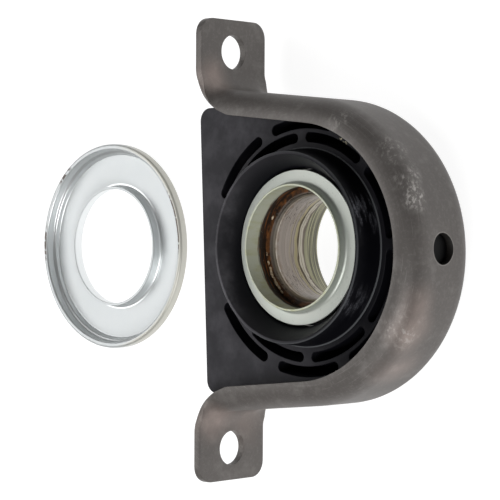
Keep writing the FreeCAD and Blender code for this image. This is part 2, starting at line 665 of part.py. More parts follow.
# Section of the strap across its run: a web whose two edges bend inwards by the sweep angle,
# with the outer face at the given distance from the sketch's upright axis
def strap_section(body, name, base, heading, face, sweep):
    sketch = sketch_on(body, name, "XZ_Plane", base, turn=heading)
    inner = face + " - strap_sheet"
    if sweep == "0":
        outline(sketch, (
            (face, "-edge_centre"),
            (face, "edge_centre"),
            (face, "strap_half_width"),
            (inner, "strap_half_width"),
            (inner, "edge_centre"),
            (inner, "-edge_centre"),
            (inner, "-strap_half_width"),
            (face, "-strap_half_width"),
        ))
        return sketch
    radius = "edge_bend / sin(%s)" % sweep
    tips = []
    for reach in (radius, "(" + radius + " - strap_sheet)"):
        across = "%s - %s + %s * cos(%s)" % (face, radius, reach, sweep)
        tips.append((across, "%s * sin(%s) + edge_centre" % (reach, sweep)))
    upright = Vector(0, 0, 1)
    bend = number(radius)
    angle = math.radians(number(sweep))
    heights = (number("edge_centre"), -number("edge_centre"))

    def edge_arc(size, height):
        centre = Vector(number(face) - bend, height, 0)
        start = 0 if height > 0 else -angle
        circle = Part.Circle(centre, upright, size)
        return sketch.addGeometry(Part.ArcOfCircle(circle, start, start + angle))

    def side(start, end):
        first = Vector(number(start[0]), number(start[1]), 0)
        last = Vector(number(end[0]), number(end[1]), 0)
        return sketch.addGeometry(Part.LineSegment(first, last))

    low_tips = [(tip[0], "-(" + tip[1] + ")") for tip in tips]
    web_outer = side((face, "-edge_centre"), (face, "edge_centre"))
    upper_outer = edge_arc(bend, heights[0])
    upper_tip = side(tips[0], tips[1])
    upper_inner = edge_arc(bend - number("strap_sheet"), heights[0])
    web_inner = side((inner, "edge_centre"), (inner, "-edge_centre"))
    lower_inner = edge_arc(bend - number("strap_sheet"), heights[1])
    lower_tip = side(low_tips[1], low_tips[0])
    lower_outer = edge_arc(bend, heights[1])
    pin_point(sketch, web_outer, 1, face, "-edge_centre")
    pin_point(sketch, web_outer, 2, face, "edge_centre")
    pin_point(sketch, web_inner, 1, inner, "edge_centre")
    pin_point(sketch, web_inner, 2, inner, "-edge_centre")
    sketch.addConstraint(Sketcher.Constraint("Tangent", web_outer, 2, upper_outer, 1))
    sketch.addConstraint(Sketcher.Constraint("Tangent", web_inner, 1, upper_inner, 1))
    sketch.addConstraint(Sketcher.Constraint("Tangent", web_inner, 2, lower_inner, 2))
    sketch.addConstraint(Sketcher.Constraint("Tangent", web_outer, 1, lower_outer, 2))
    pin_point(sketch, upper_outer, 2, *tips[0])
    pin_point(sketch, upper_inner, 2, *tips[1])
    pin_point(sketch, lower_outer, 1, *low_tips[0])
    pin_point(sketch, lower_inner, 1, *low_tips[1])
    sketch.addConstraint(Sketcher.Constraint("Coincident", upper_tip, 1, upper_outer, 2))
    sketch.addConstraint(Sketcher.Constraint("Coincident", upper_tip, 2, upper_inner, 2))
    sketch.addConstraint(Sketcher.Constraint("Coincident", lower_tip, 1, lower_inner, 1))
    sketch.addConstraint(Sketcher.Constraint("Coincident", lower_tip, 2, lower_outer, 1))
    return sketch


# Strap: an arch whose edges are rolled in as a channel, two splayed legs where the rolled edges
# fade out through the foot bend, and two flat bolting feet
def strap():
    body = new_body("bracket")
    body.setExpression("Placement.Base.x", "-Sizes.arch_shift")
    body.setExpression("Placement.Base.y", "Sizes.arch_offset")
    centre = ("0", "0", "0")
    arch = strap_section(body, "arch_section", centre, "-90", "arch_radius", "90")
    turn(body, "Revolution", "arch", arch, "180 - 2 * leg_splay", midplane=True)
    leg = strap_section(body, "leg_section", centre, "-leg_splay", "arch_radius", "90")
    right = [extrude(body, "Pad", "leg", leg, "leg_length - flange_fade", backwards=True)]
    # Along the leg the base slides away from the arch centre, in the bend the heading turns
    fades = (("flange_fade", "90"), ("flange_fade / 2", "fade_middle_sweep"), ("0", "fade_root_sweep"))
    sections = []
    for step, (back, sweep) in enumerate(fades):
        run = "(leg_length - %s)" % back
        base = (run + " * sin(leg_splay)", "0", "-" + run + " * cos(leg_splay)")
        name = "leg_fade_%d" % step
        sections.append(strap_section(body, name, base, "-leg_splay", "arch_radius", sweep))
    bend_centre = ("bend_reach", "0", "-bend_rise")
    upper = ("fade_upper_turn", "fade_upper_sweep")
    lower = ("fade_lower_turn", "fade_lower_sweep")
    for step, (heading, sweep) in enumerate((upper, lower, ("flat_turn", "0"))):
        name = "bend_fade_%d" % step
        turned = "-leg_splay - " + heading
        sections.append(strap_section(body, name, bend_centre, turned, "-foot_bend", sweep))
    fade = body.newObject("PartDesign::AdditiveLoft", "flange_runout")
    fade.Profile = sections[0]
    fade.Sections = sections[1:]
    right.append(fade)
    flat = strap_section(body, "bend_section", bend_centre, "-leg_splay - flat_turn", "-foot_bend", "0")
    right.append(turn(body, "Revolution", "foot_bend_sheet", flat, "bend_total - flat_turn", backwards=True))
    mount_plane = ("0", "0", "-(mount_height - arch_offset)")
    foot = sketch_on(body, "foot_outline", "XZ_Plane", mount_plane)
    outline(foot, (
        ("bend_reach", "-strap_half_width"),
        ("foot_half_span", "-strap_half_width", "foot_corner"),
        ("foot_half_span", "strap_half_width", "foot_corner"),
        ("bend_reach", "strap_half_width"),
    ))
    right.append(extrude(body, "Pad", "foot", foot, "strap_sheet"))
    hole = sketch_on(body, "bolt_circle", "XZ_Plane", mount_plane)
    circle_at(hole, "bolt_spacing / 2", "0", "bolt_hole_radius")
    right.append(extrude(body, "Pocket", "bolt_hole", hole, "strap_sheet", backwards=True))
    mirror = body.newObject("PartDesign::Mirrored", "left_leg")
    mirror.Originals = right
    mirror.MirrorPlane = (origin_item(body, "YZ_Plane"), [""])
    body.Tip = mirror
    apex = sketch_on(body, "apex_circle", "XZ_Plane")
    circle_at(apex, "arch_shift", "apex_hole_height", "apex_hole_radius")
    extrude(body, "Pocket", "apex_hole", apex, "apex_cut", backwards=True)


inner_ring()
outer_ring()
balls()
cage()
seal("front_seal", 1)
seal("back_seal", -1)
shield("front_shield", 1, "lip_height", "0", "shield_fall")
shield("back_shield", -1, "back_lip_height", "back_lip_flare", "back_shield_fall")
sleeve()
cushion()
strap()
slinger()
doc.recompute()

nodes = [
    "bracket", "rubber_insert", "retaining_sleeve", "outer_ring", "inner_ring",
    "cage_front", "cage_back", "cage_rivets", "front_seal", "back_seal",
    "front_shield", "back_shield", "loose_slinger",
]
nodes += ["ball_%02d" % (index + 1) for index in range(int(number("ball_count")))]
for item in doc.Objects:
    if "Invalid" in item.State or "Error" in item.State:
        raise RuntimeError("failed to compute: " + item.Name)
for label in nodes:
    shape = doc.getObjectsByLabel(label)[0].Shape
    if shape.isNull() or not shape.isValid():
        raise RuntimeError("bad shape: " + label)
    shape.exportStep("parts/" + label + ".step")
    print("%-18s %2d solids %9.1f mm3" % (label, len(shape.Solids), shape.Volume))
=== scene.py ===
import math

import bmesh
import bpy
from mathutils import Matrix, Vector


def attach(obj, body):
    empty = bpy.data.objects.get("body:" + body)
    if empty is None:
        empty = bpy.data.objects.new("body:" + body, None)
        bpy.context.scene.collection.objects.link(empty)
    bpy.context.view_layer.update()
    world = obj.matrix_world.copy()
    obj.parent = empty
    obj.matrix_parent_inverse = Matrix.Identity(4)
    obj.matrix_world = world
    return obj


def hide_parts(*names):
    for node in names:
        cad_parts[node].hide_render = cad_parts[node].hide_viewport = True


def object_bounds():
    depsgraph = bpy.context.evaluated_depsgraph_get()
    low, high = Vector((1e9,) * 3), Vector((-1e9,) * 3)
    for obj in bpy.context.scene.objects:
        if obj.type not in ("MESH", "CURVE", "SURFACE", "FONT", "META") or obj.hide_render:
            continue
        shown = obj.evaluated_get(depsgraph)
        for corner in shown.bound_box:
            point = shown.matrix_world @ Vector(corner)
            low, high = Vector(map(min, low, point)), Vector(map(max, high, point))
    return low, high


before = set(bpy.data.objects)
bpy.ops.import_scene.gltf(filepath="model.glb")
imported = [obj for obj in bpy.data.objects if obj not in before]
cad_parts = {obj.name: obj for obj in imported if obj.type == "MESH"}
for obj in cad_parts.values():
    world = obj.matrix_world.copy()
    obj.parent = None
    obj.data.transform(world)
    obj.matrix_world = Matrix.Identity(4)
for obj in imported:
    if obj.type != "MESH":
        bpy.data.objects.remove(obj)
cad_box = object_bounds()
scene = bpy.context.scene


# Studio: a white table, and a camera that looks down past the arch of the strap and lies on
# its side, so that the two bolting feet stand one above the other.

azimuth, elevation, roll = math.radians(0.945), math.radians(46.452), math.radians(-90.424)
target, distance = Vector((-0.0021, 0.056144, 0)), 1.0577
focal_pixels, frame_pixels = 1918.03, 500

level_reach = math.cos(elevation)
back = Vector((math.sin(azimuth) * level_reach, -math.cos(azimuth) * level_reach, math.sin(elevation)))
level = Vector((math.cos(azimuth), math.sin(azimuth), 0))
upright = back.cross(level)
across = level * math.cos(roll) + upright * math.sin(roll)
topwards = upright * math.cos(roll) - level * math.sin(roll)
eye = target + back * distance
camera = bpy.data.objects.new("camera", bpy.data.cameras.new("camera"))
camera.matrix_world = Matrix((
    (across.x, topwards.x, back.x, eye.x),
    (across.y, topwards.y, back.y, eye.y),
    (across.z, topwards.z, back.z, eye.z),
    (0, 0, 0, 1),
))
camera.data.sensor_width = 36
camera.data.lens = camera.data.sensor_width * focal_pixels / frame_pixels
scene.collection.objects.link(camera)
scene.camera = camera
scene.view_settings.view_transform = "Standard"


# A signal is one output of a shader node. Sums written with it become Math nodes.
class Signal:
    def __init__(self, finish, socket):
        self.finish = finish
        self.socket = socket

    def maths(self, operation, first, second=None):
        inputs = [first] if second is None else [first, second]
        return self.finish.node("Math", {"operation": operation}, *inputs)

    def __add__(self, other):
        return self.maths("ADD", self, other)

    def __sub__(self, other):
        return self.maths("SUBTRACT", self, other)

    def __rsub__(self, other):
        return self.maths("SUBTRACT", other, self)

    def __mul__(self, other):
        return self.maths("MULTIPLY", self, other)

    def __truediv__(self, other):
        return self.maths("DIVIDE", self, other)

    def __pow__(self, other):
        return self.maths("POWER", self, other)

    def __abs__(self):
        return self.maths("ABSOLUTE", self)

    __radd__ = __add__
    __rmul__ = __mul__


# A finish is a material whose surface is worked out from the place on the object.
class Finish:
    def __init__(self, name, **surface):
        self.material = bpy.data.materials.new(name)
        self.material.use_nodes = True
        self.tree = self.material.node_tree
        self.shader = self.tree.nodes["Principled BSDF"]
        self.place = self.node("TexCoord", {"output": "Object"})
        self.x, self.y, self.z = self.node("SeparateXYZ", {"all": True}, self.place)
        for name, value in surface.items():
            self.put(name, value)

    # Adds a node with its settings and feeds its inputs, by number or by name. It gives back the
    # output that the settings name, the first one, or all of them.
    def node(self, kind, settings, *inputs, **named):
        node = self.tree.nodes.new("ShaderNode" + kind)
        for key, value in settings.items():
            if key not in ("output", "all"):
                setattr(node, key, value)
        for key, value in list(enumerate(inputs)) + list(named.items()):
            socket = node.inputs[key]
            if isinstance(value, Signal):
                self.tree.links.new(value.socket, socket)
            else:
                socket.default_value = value
        if "all" in settings:
            return [Signal(self, socket) for socket in node.outputs]
        return Signal(self, node.outputs[settings.get("output", 0)])

    def put(self, name, value):
        socket = self.shader.inputs[name.replace("_", " ")]
        if isinstance(value, Signal):
            self.tree.links.new(value.socket, socket)
        else:
            socket.default_value = value

    # Cloudy pattern between 0 and 1, with features of the given size in metres
    def cloud(self, size, detail=3.0, stretch=(1, 1, 1), offset=0.0):
        scale = [share / size for share in stretch]
        place = self.node("VectorMath", {"operation": "MULTIPLY"}, self.place, scale)
        place = self.node("VectorMath", {"operation": "ADD"}, place, (offset, offset, offset))
        return self.node("TexNoise", {}, place, Scale=1.0, Detail=detail, Roughness=0.6)

    # Rises smoothly from 0 to 1 while the value goes from low to high
    def rise(self, value, low, high):
        return self.node("MapRange", {"interpolation_type": "SMOOTHSTEP"}, value, low, high, 0.0, 1.0)

    def tint(self, amount, first, second):
        first = first if isinstance(first, Signal) else (*first, 1)
        second = second if isinstance(second, Signal) else (*second, 1)
        return self.node("MixRGB", {}, amount, first, second)

    # 1 near a point of the object, given in millimetres, falling to 0 at the given reach
    def near(self, point, reach):
        point = [size / 1000 for size in point]
        away = self.node("VectorMath", {"operation": "DISTANCE", "output": "Value"}, self.place, point)
        return 1 - self.rise(away, 0.0, reach / 1000)

    # Several such places together, each with its point, its reach and its strength
    def patches(self, *spots):
        return sum(self.near(point, reach) * strength for point, reach, strength in spots)

    # 1 between two values, with soft flanks of the given width
    def band(self, value, low, high, flank):
        return self.rise(value, low - flank, low) * (1 - self.rise(value, high, high + flank))

    # Several bands together, each with its two ends, its flank and its strength
    def bands(self, value, *rows):
        return sum(self.band(value, low, high, flank) * strength for low, high, flank, strength in rows)

    # Distance from the shaft axis in millimetres
    def from_axis(self):
        return (self.x * self.x + self.y * self.y) ** 0.5 * 1000

    def maths_of(self, operation, first, second):
        return self.node("Math", {"operation": operation}, first, second)

    # Streaks drawn out round the shaft axis, fine across them and long along them. Their width and
    # length are in millimetres, and the length is true at the usual radius.
    def turned_streaks(self, width, length, detail=3.0, offset=0.0):
        usual_radius = 40
        angle = self.maths_of("ARCTAN2", self.y, self.x) * (usual_radius / length) + offset
        place = self.node("CombineXYZ", {}, self.from_axis() / width, angle, self.z * (1000 / width))
        return self.node("TexNoise", {}, place, Scale=1.0, Detail=detail, Roughness=0.55)

    def bump(self, height, depth, strength):
        self.put("Normal", self.node("Bump", {}, Strength=strength, Distance=depth, Height=height))


# Gives a piece one finish all over
def wear(piece, finish):
    piece.data.materials.clear()
    piece.data.materials.append(finish.material)


half_side, gap_below = 6, 0.0001
table = Finish("white_table", Base_Color=(0.22, 0.22, 0.22, 1), Emission_Color=(1, 1, 1, 1),
               Emission_Strength=0.93)
grain = table.cloud(0.004, 2.0)
table.put("Roughness", 0.55 + grain * 0.1)
shell = bmesh.new()
bmesh.ops.create_grid(shell, x_segments=1, y_segments=1, size=half_side)
bmesh.ops.translate(shell, verts=shell.verts, vec=(0, 0, cad_box[0].z - gap_below))
floor = bpy.data.objects.new("floor", bpy.data.meshes.new("floor"))
shell.to_mesh(floor.data)
shell.free()
scene.collection.objects.link(floor)
wear(floor, table)


# Flat lamp that shines toward the place it is aimed at
def softbox(name, place, aim, width, height, power):
    lamp = bpy.data.lights.new(name, "AREA")
    lamp.shape = "RECTANGLE"
    lamp.size, lamp.size_y = width, height
    lamp.energy = power
    box = bpy.data.objects.new(name, lamp)
    box.location = place
    box.rotation_euler = (Vector(aim) - Vector(place)).to_track_quat("-Z", "Y").to_euler()
    scene.collection.objects.link(box)


softbox("far_light", place=(0.1, 1.0, 1.0), aim=(0, 0.05, 0), width=1.4, height=1.0, power=11)
softbox("high_light", place=(-0.75, -0.55, 1.0), aim=(0, 0, 0), width=0.8, height=0.8, power=12)

# The room is brightest overhead and on the far side, and falls to a third on the near side
dimmest, brightest = 0.35, 1.0
world = bpy.data.worlds.new("room")
scene.world = world
world.use_nodes = True
tree = world.node_tree
heading = tree.nodes.new("ShaderNodeTexCoord")
facing = tree.nodes.new("ShaderNodeVectorMath")
facing.operation = "DOT_PRODUCT"
facing.inputs[1].default_value = (-0.2, 0.5, 0.84)
level_of_light = tree.nodes.new("ShaderNodeMapRange")
level_of_light.inputs["From Min"].default_value = -0.5
level_of_light.inputs["From Max"].default_value = 0.7
level_of_light.inputs["To Min"].default_value = dimmest
level_of_light.inputs["To Max"].default_value = brightest
tree.links.new(heading.outputs["Generated"], facing.inputs[0])
tree.links.new(facing.outputs["Value"], level_of_light.inputs["Value"])
tree.links.new(level_of_light.outputs["Result"], tree.nodes["Background"].inputs["Strength"])


# Strap: one pressed sheet 4.2 mm thick. It is rolled into an arch with its edges drawn in as a
# channel, the edges run out in two splayed legs, and two flat feet with bolt holes end it. The
# steel is left bare and oiled, so it is dark, a little brown at the bends and scuffed by handling,
# with painted highlights at the bends and on the roll of the arch and painted shade in the crown hole.

sheet_gauge, half_width, edge_bend, edge_rounding = 4.2, 25.3, 13.5, 0.7
arch_radius, splay, leg_length = 81.3, math.radians(6.2), 66.364
foot_bend, foot_end, foot_corner = 12.0, 127.8, 9.0
bolt_spacing, bolt_hole, crown_hole, crown_hole_height = 220, 9.55, 8.0, 2.0
strap_shift = (-2.4, 1.5, 0)
# Share of the half width that stays flat, and the number of steps in each stretch of the sheet
flat_share, half_row = 0.4, 20
arch_steps, leg_steps, bend_steps, foot_steps, corner_steps = 44, 24, 24, 7, 8

strap = bmesh.new()
share_of = strap.verts.layers.float.new("share")


# Lays a row of points across the sheet, with its two edges bent in by the sweep angle
def lay_across(verts, face, normal, sweep):
    bend = edge_bend / math.sin(sweep) if sweep else 0
    for vert in verts:
        share = vert[share_of]
        turned = max(0, (abs(share) - flat_share) / (1 - flat_share))
        height = (half_width - edge_bend) * min(1, abs(share) / flat_share)
        height += bend * math.sin(turned * sweep) if sweep else turned * edge_bend
        sink = bend * (1 - math.cos(turned * sweep))
        vert.co = face - normal * sink + Vector((0, 0, math.copysign(height, share)))


# Draws a new row out of the last one, and gives back its points and edges
def pulled_out(bm, edges):
    grown = bmesh.ops.extrude_edge_only(bm, edges=edges)["geom"]
    verts = [item for item in grown if isinstance(item, bmesh.types.BMVert)]
    edges = [item for item in grown if isinstance(item, bmesh.types.BMEdge) and len(item.link_faces) < 2]
    edges = [edge for edge in edges if all(vert in verts for vert in edge.verts)]
    return verts, edges


row = [strap.verts.new() for step in range(2 * half_row + 1)]
for step, vert in enumerate(row):
    vert[share_of] = step / half_row - 1
for first, second in zip(row, row[1:]):
    strap.edges.new((first, second))
crown = Vector((0, -1, 0))
lay_across(row, crown * arch_radius, crown, math.pi / 2)
around_arch = bmesh.ops.spin(strap, geom=row + strap.edges[:], cent=(0, 0, 0), axis=(0, 0, 1),
                             angle=math.pi / 2 - splay, steps=arch_steps)
edges = [item for item in around_arch["geom_last"] if isinstance(item, bmesh.types.BMEdge)]
outwards = Vector((math.cos(splay), -math.sin(splay), 0))
along = Vector((math.sin(splay), math.cos(splay), 0))
# Place along the leg, measured from the foot bend, and the sweep of the rolled edges there
run_out = ((-leg_length, 90), (-11, 90), (-5.5, 84.5), (0, 75), (4.92, 48), (10.09, 15), (15.26, 0), (30, 0))


# Sweep of the rolled edges in radians, on a smooth curve through the stations of the run-out
def sweep_at(place):
    for index in range(1, len(run_out) - 1):
        low, high = run_out[index], run_out[index + 1]
        if place <= high[0]:
            break
    if place <= run_out[1][0]:
        return math.pi / 2
    share = (place - low[0]) / (high[0] - low[0])
    before, after = run_out[index - 1], run_out[min(index + 2, len(run_out) - 1)]
    slope_in = (high[1] - before[1]) / (high[0] - before[0]) * (high[0] - low[0])
    slope_out = (after[1] - low[1]) / (after[0] - low[0]) * (high[0] - low[0])
    slope_in = 0 if low[1] in (0, 90) else slope_in
    slope_out = 0 if high[1] in (0, 90) else slope_out
    cube, square = share ** 3, share ** 2
    value = (2 * cube - 3 * square + 1) * low[1] + (cube - 2 * square + share) * slope_in
    value += (3 * square - 2 * cube) * high[1] + (cube - square) * slope_out
    return math.radians(max(0, min(90, value)))


for step in range(1, leg_steps + 1):
    run = leg_length * (step / leg_steps) ** 0.8
    verts, edges = pulled_out(strap, edges)
    lay_across(verts, outwards * arch_radius + along * run, outwards, sweep_at(run - leg_length))
bend_centre = outwards * (arch_radius + foot_bend) + along * leg_length
for step in range(1, bend_steps + 1):
    turn = (math.pi / 2 - splay) * step / bend_steps
    run = turn * (foot_bend + sheet_gauge / 2)
    normal = Matrix.Rotation(-turn, 3, "Z") @ outwards
    verts, edges = pulled_out(strap, edges)
    lay_across(verts, bend_centre - normal * foot_bend, normal, sweep_at(run))
foot_step = (foot_end - foot_corner - bend_centre.x) / foot_steps
for step in range(foot_steps):
    verts, edges = pulled_out(strap, edges)
    bmesh.ops.translate(strap, verts=verts, vec=(foot_step, 0, 0))
for step in range(1, corner_steps + 1):
    before, now = math.pi / 2 * (step - 1) / corner_steps, math.pi / 2 * step / corner_steps
    verts, edges = pulled_out(strap, edges)
    bmesh.ops.translate(strap, verts=verts, vec=(foot_corner * (math.sin(now) - math.sin(before)), 0, 0))
    flat = half_width - foot_corner
    narrower = (flat + foot_corner * math.cos(now)) / (flat + foot_corner * math.cos(before))
    bmesh.ops.scale(strap, verts=verts, vec=(1, 1, narrower))
bmesh.ops.mirror(strap, geom=strap.verts[:] + strap.edges[:] + strap.faces[:], merge_dist=0.001, axis="X")
bmesh.ops.remove_doubles(strap, verts=strap.verts, dist=0.001)
bmesh.ops.recalc_face_normals(strap, faces=strap.faces)
crown_face = min(strap.faces, key=lambda face: face.calc_center_median().y)
if crown_face.normal.y > 0:
    bmesh.ops.reverse_faces(strap, faces=strap.faces)
bmesh.ops.translate(strap, verts=strap.verts, vec=strap_shift)


# Turns a mesh worked out in millimetres into a piece in metres
def piece_of(name, bm):
    bmesh.ops.scale(bm, verts=bm.verts, vec=(0.001, 0.001, 0.001))
    mesh = bpy.data.meshes.new(name)
    bm.to_mesh(mesh)
    bm.free()
    mesh.shade_smooth()
    piece = bpy.data.objects.new(name, mesh)
    scene.collection.objects.link(piece)
    return piece


# Fixes a piece's modifiers into its mesh, and keeps edges sharper than the angle crisp
def settle(piece, angle=35):
    bpy.context.view_layer.update()
    graph = bpy.context.evaluated_depsgraph_get()
    solid = bpy.data.meshes.new_from_object(piece.evaluated_get(graph))
    piece.modifiers.clear()
    piece.data = solid
    solid.shade_smooth()
    solid.set_sharp_from_angle(angle=math.radians(angle))


# Drill that runs through the sheet from one depth to another
def drill(radius, across, height, near, far):
    bit = bmesh.new()
    turn = Matrix.Translation((across, (near + far) / 2, height)) @ Matrix.Rotation(math.pi / 2, 4, "X")
    bmesh.ops.create_cone(bit, cap_ends=True, segments=96, radius1=radius, radius2=radius,
                          depth=abs(far - near), matrix=turn)
    return piece_of("drill", bit)


bracket = piece_of("pressed_strap", strap)
gauge = bracket.modifiers.new("gauge", "SOLIDIFY")
gauge.thickness, gauge.offset, gauge.use_even_offset = sheet_gauge / 1000, -1, True
bits = [drill(bolt_hole, side * bolt_spacing / 2 + strap_shift[0], 0, 60, 90) for side in (1, -1)]
bits.append(drill(crown_hole, 0, crown_hole_height, -60, -100))
for bit in bits:
    hole = bracket.modifiers.new("hole", "BOOLEAN")
    hole.operation, hole.object, hole.solver = "DIFFERENCE", bit, "EXACT"
settle(bracket)
for bit in bits:
    bpy.data.objects.remove(bit)
edge = bracket.modifiers.new("edge", "BEVEL")
edge.width, edge.segments = edge_rounding / 1000, 3
edge.limit_method, edge.angle_limit = "ANGLE", math.radians(50)
edge.harden_normals = True
settle(bracket, 60)

oiled_dark, oiled_light, rubbed = (0.092, 0.083, 0.077), (0.150, 0.137, 0.128), (0.20, 0.186, 0.176)
grained, drawn_dark, warm_highlight_brown = (0.21, 0.196, 0.186), (0.085, 0.077, 0.071), (0.36, 0.275, 0.24)
scuff_and_highlight_grey, hole_edge, hole_wall_shade_dark = (0.62, 0.59, 0.56), (0.34, 0.32, 0.30), (0.02, 0.018, 0.016)

steel = Finish("oiled_steel", Metallic=0.3)
broad = steel.cloud(0.045, 3)
mottle = steel.cloud(0.009, 5, offset=2.6)
fine = steel.cloud(0.0016, 4, offset=3.1)
drawn = steel.turned_streaks(0.9, 16, 4)
colour = steel.tint(broad, oiled_dark, oiled_light)
colour = steel.tint(steel.rise(mottle, 0.5, 0.74) * 0.6, colour, rubbed)
colour = steel.tint(steel.rise(fine, 0.45, 0.75) * 0.4, colour, grained)
colour = steel.tint(steel.rise(drawn, 0.56, 0.74) * 0.4, colour, drawn_dark)
# Warm brown places at the foot bends and the far side of the arch: partly brushing where the press tool
# dragged, partly a painted highlight
dragged_and_highlit = steel.patches(
    ((-95, 67, 16), 19, 1.0), ((92, 68, 17), 17, 1.0), ((-97, 68, -10), 22, 0.5),
    ((-62, -54, 7), 20, 0.7), ((-42, -69, 14), 19, 1.0), ((-27, -75, 15), 15, 0.6),
)
warm_and_highlight = steel.maths_of("MINIMUM", dragged_and_highlit * (0.35 + mottle), 1.0)
colour = steel.tint(warm_and_highlight * 0.6, colour, warm_highlight_brown)
# Handling has left pale scuffs on the roll of the arch, laid over a broad painted highlight there, and a few
# scratches along the flange
scuffs_and_highlight = steel.patches(
    ((25, -73, 17), 9, 1.3), ((37, -68, 17), 12, 0.7), ((50, -59, 17), 13, 0.5),
    ((-40, -66, 17), 16, 0.45), ((66, -30, 25), 12, 0.4),
)
flecks = steel.rise(steel.cloud(0.0016, 5, stretch=(0.5, 1, 0.8), offset=9.0), 0.48, 0.6)
flecks = flecks * steel.rise(mottle, 0.38, 0.56)
pale = steel.maths_of("MINIMUM", scuffs_and_highlight * (flecks + steel.rise(mottle, 0.3, 0.7) * 0.3), 1.0)
scratch = steel.rise(steel.turned_streaks(0.35, 26, 2, 4.4), 0.64, 0.72) * steel.rise(steel.z, 0.012, 0.02)
pale = steel.maths_of("MINIMUM", pale * 0.8 + scratch * 0.16, 1.0)
colour = steel.tint(pale, colour, scuff_and_highlight_grey)
# The hole in the crown has a bare edge, and its sheared wall is darkened with painted shade
up = steel.z - crown_hole_height / 1000
from_hole = (steel.x * steel.x + up * up) ** 0.5 * 1000
hole_wall_shade = 1 - steel.rise(from_hole, crown_hole + 0.03, crown_hole + 0.15)
hole_wall_shade = hole_wall_shade * steel.rise(0.0 - steel.y, 0.05, 0.06)
hole_ring = steel.band(from_hole, crown_hole + 0.15, crown_hole + 0.6, 0.15)
colour = steel.tint(hole_ring * 0.35, colour, hole_edge)
colour = steel.tint(hole_wall_shade, colour, hole_wall_shade_dark)
steel.put("Base Color", colour)
steel.put("Roughness", 0.44 + broad * 0.1 + fine * 0.1 - warm_and_highlight * 0.12 - pale * 0.1)
steel.bump(fine * 0.5 + drawn * 0.35 + mottle * 0.3, 0.00009, 0.5)
wear(bracket, steel)
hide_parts("bracket")
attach(bracket, "housing")


# Cushion: one moulding of dark rubber with a flat top, two rings of slots that let it give, a
# bead that fills the channel of the strap and a cup round each side of the bearing. The moulds
# met at the foot of the cup and left a thin flash there. Dust lies on it in patches, with painted
# sheen, painted highlights and painted shade.

web_face, slots_from, slot_rounding = 17.5, 53, 0.45
plug_from, plug_face = 77.5, 75.9


# Copy of a solid in millimetres, with its loose triangles joined again into flat faces
def solid_copy(node):
    copy = bmesh.new()
    copy.from_mesh(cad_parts[node].data)
    bmesh.ops.scale(copy, verts=copy.verts, vec=(1000, 1000, 1000))
    bmesh.ops.remove_doubles(copy, verts=copy.verts, dist=0.002)
    bmesh.ops.dissolve_limit(copy, angle_limit=math.radians(0.3), verts=copy.verts, edges=copy.edges)
    return copy


# Closed ring turned from the corners of its section, each (radius, height) or with a rounding
def ring_of(corners, steps=192):
    bm = bmesh.new()
    points = [bm.verts.new((corner[0], 0, corner[1])) for corner in corners]
    bm.faces.new(points)
    for point, corner in zip(points, corners):
        if len(corner) > 2:
            bmesh.ops.bevel(bm, geom=[point], offset=corner[2], offset_type="OFFSET", segments=6,
                            profile=0.5, affect="VERTICES", material=-1)
    bmesh.ops.delete(bm, geom=bm.faces[:], context="FACES_ONLY")
    bmesh.ops.spin(bm, geom=bm.verts[:] + bm.edges[:], cent=(0, 0, 0), axis=(0, 0, 1),
                   angle=2 * math.pi, steps=steps, use_merge=True)
    bmesh.ops.remove_doubles(bm, verts=bm.verts, dist=0.0001)
    bmesh.ops.recalc_face_normals(bm, faces=bm.faces)
    return bm


# Puts one mesh in with another
def add_to(bm, other):
    mesh = bpy.data.meshes.new("part")
    other.to_mesh(mesh)
    bm.from_mesh(mesh)
    other.free()
    bpy.data.meshes.remove(mesh)


moulding = solid_copy("rubber_insert")
lips = [edge for edge in moulding.edges
        if all(abs(abs(vert.co.z) - web_face) < 0.001 for vert in edge.verts)
        and len(edge.link_faces) == 2 and edge.calc_face_angle() > math.radians(40)
        and edge.verts[0].co.xy.length > slots_from]
bmesh.ops.bevel(moulding, geom=lips, offset=slot_rounding, offset_type="OFFSET", segments=3, profile=0.5,
                affect="EDGES", material=-1, clamp_overlap=False)
# The plug that fills the strap's hole lies a little deeper than the sheet is thick
for vert in moulding.verts:
    if vert.co.y < -plug_from:
        vert.co.y = -plug_face
flash = ring_of(((51.9, 17.3), (51.9, 17.75), (52.3, 17.85), (52.55, 17.62), (52.55, 17.3)))
add_to(moulding, flash)
cushion = piece_of("rubber_cushion", moulding)
cushion.data.set_sharp_from_angle(angle=math.radians(32))

clean_black, dust_and_sheen_grey, dust_and_sheen_streak_grey = (0.004, 0.004, 0.006), (0.112, 0.108, 0.119), (0.19, 0.195, 0.22)
edge_highlight_grey, oily_grit, shaded_black = (0.20, 0.21, 0.22), (0.42, 0.38, 0.27), (0.0008, 0.0008, 0.0009)

rubber = Finish("cushion_rubber", Specular_IOR_Level=0.12)
patch = rubber.cloud(0.016, 4, offset=1.7)
smear = rubber.turned_streaks(2.2, 9, 4, 3.6)
grit = rubber.cloud(0.0011, 3, offset=5.2)
around = rubber.from_axis()
up = rubber.z * 1000
normal = rubber.node("NewGeometry", {"output": "Normal"})
level_top = rubber.rise(rubber.node("SeparateXYZ", {"output": "Z"}, normal), 0.75, 1.0)
# Dust on the flat web and in the cup, mixed with painted sheen on up-facing faces and on the
# cup's inner wall, and painted shade under the strap's arch, so most of it is at the open end between the
# feet
lit_open_end = rubber.rise(rubber.y, -0.035, 0.05)
sheen_patches = rubber.near((12, 46, 30), 30) + rubber.near((-22, 42, 30), 24)
